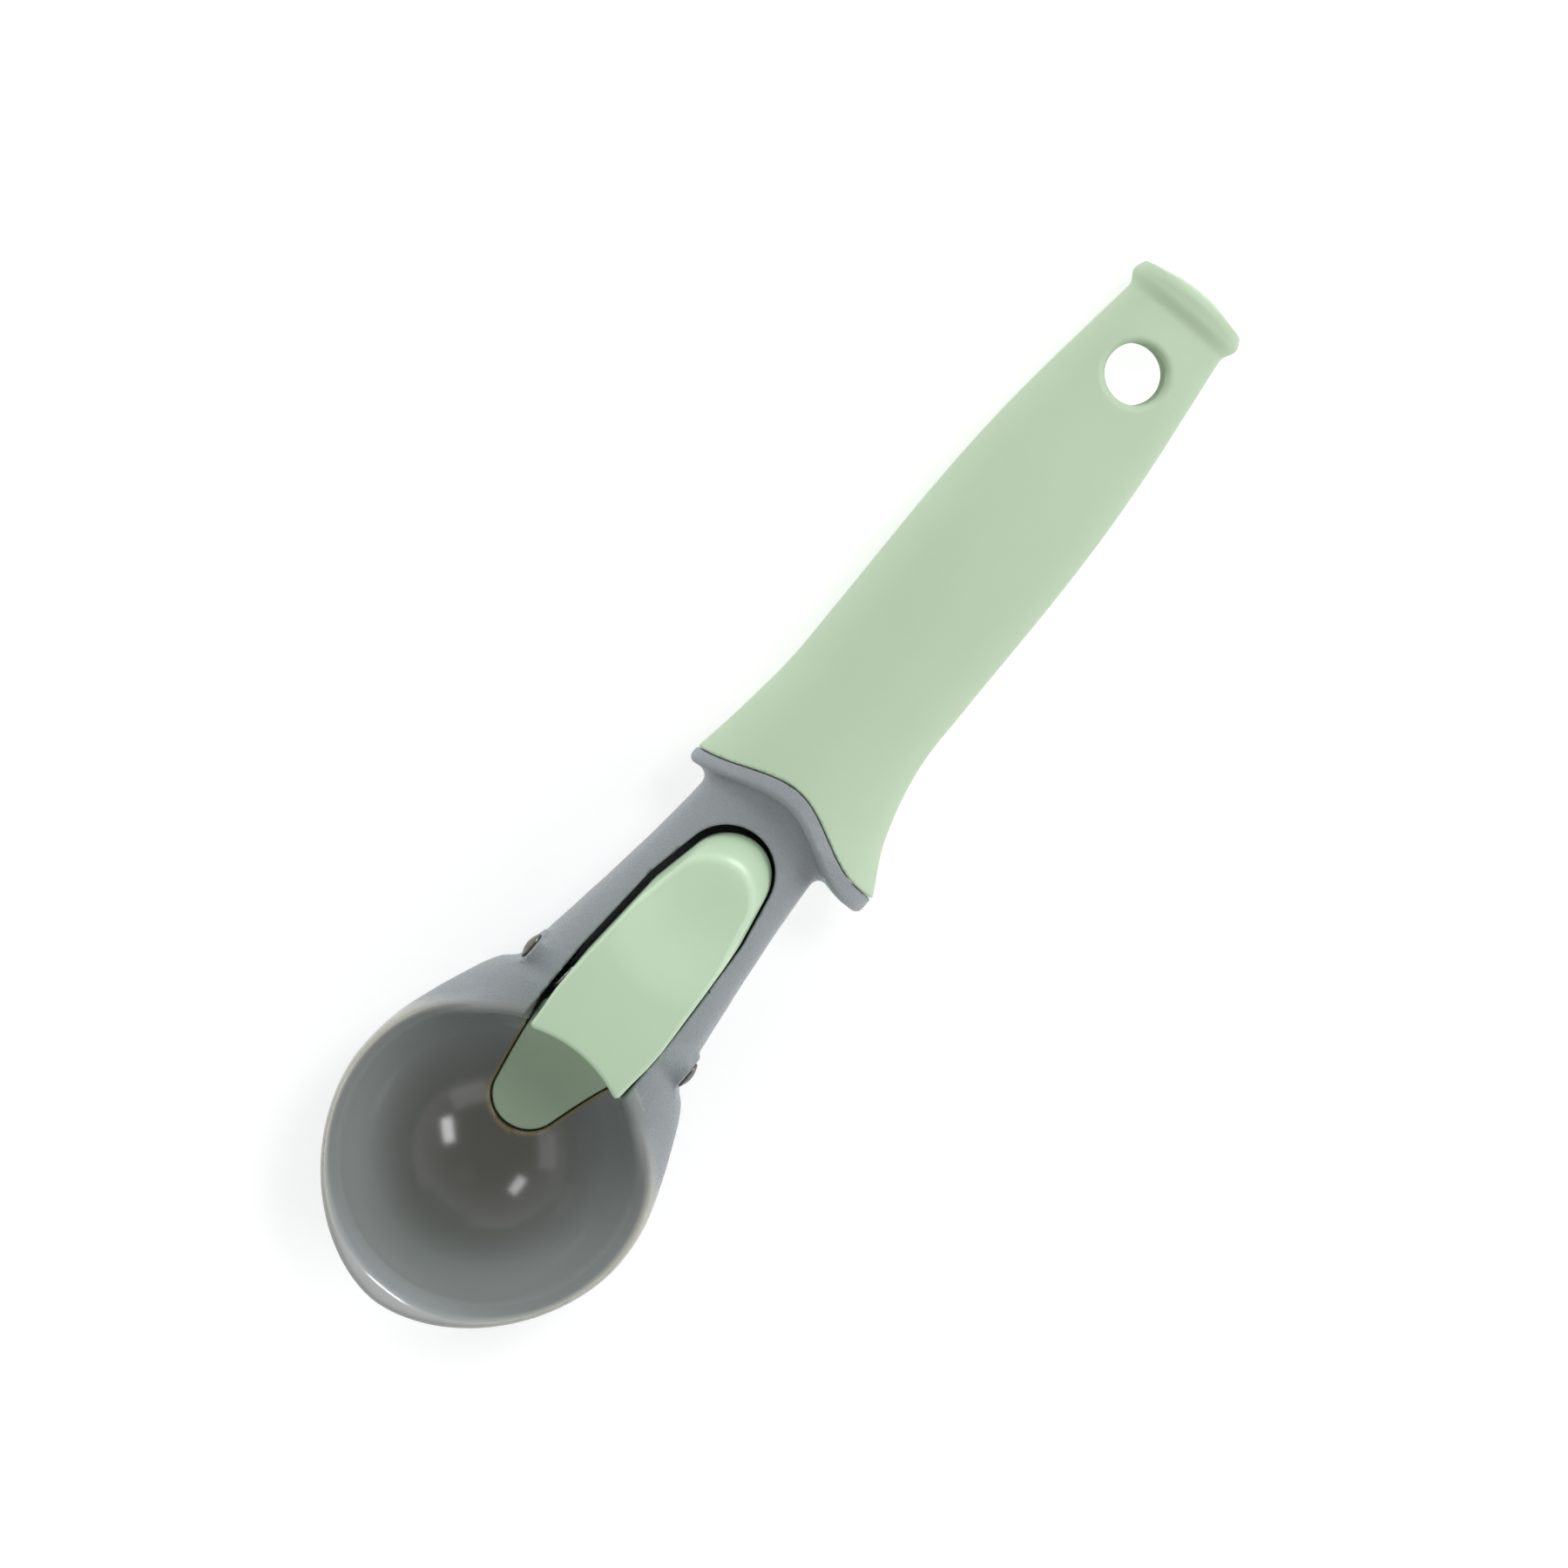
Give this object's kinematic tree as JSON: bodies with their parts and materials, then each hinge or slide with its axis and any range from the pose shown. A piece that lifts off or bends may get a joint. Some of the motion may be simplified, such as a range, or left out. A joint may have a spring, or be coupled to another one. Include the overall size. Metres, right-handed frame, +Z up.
{
  "type": "ice cream scoop",
  "caption": "Hand-held ice cream scoop: a round bowl, a sprung thumb lever whose tongue lifts the ball out of the bowl's back wall, a soft grip and a hanging hole.",
  "frame": {"origin": "middle of the tool's footprint box, on the table it lies on", "axes": "+X from the lip to the handle's end, +Y to the tool's left, +Z up out of the open bowl"},
  "size_m": [0.195, 0.0502, 0.0308],
  "materials": {
    "grey_plastic": "spark-eroded outside, smooth semi-gloss inside the bowl",
    "soft_grip": "soft-touch matte",
    "green_plastic": "satin",
    "steel": "satin nickel plate",
    "spring_steel": "drawn wire"
  },
  "bodies": {
    "scoop": {"scoop_body": "grey_plastic", "grip": "soft_grip", "pivot_barrel": "steel", "pivot_stud": "steel", "return_spring": "spring_steel"},
    "lever": {"ejector_lever": "green_plastic"}
  },
  "joints": [
    {"name": "lever_pivot", "type": "hinge", "parent": "scoop", "child": "lever", "pos_m": [-0.0421, 0, 0.0215], "axis": [0, 1, 0], "range_deg": [0, 15], "stiffness_Nm_per_rad": 0.12, "springref_deg": -28.65, "deforming": ["return_spring"]}
  ]
}
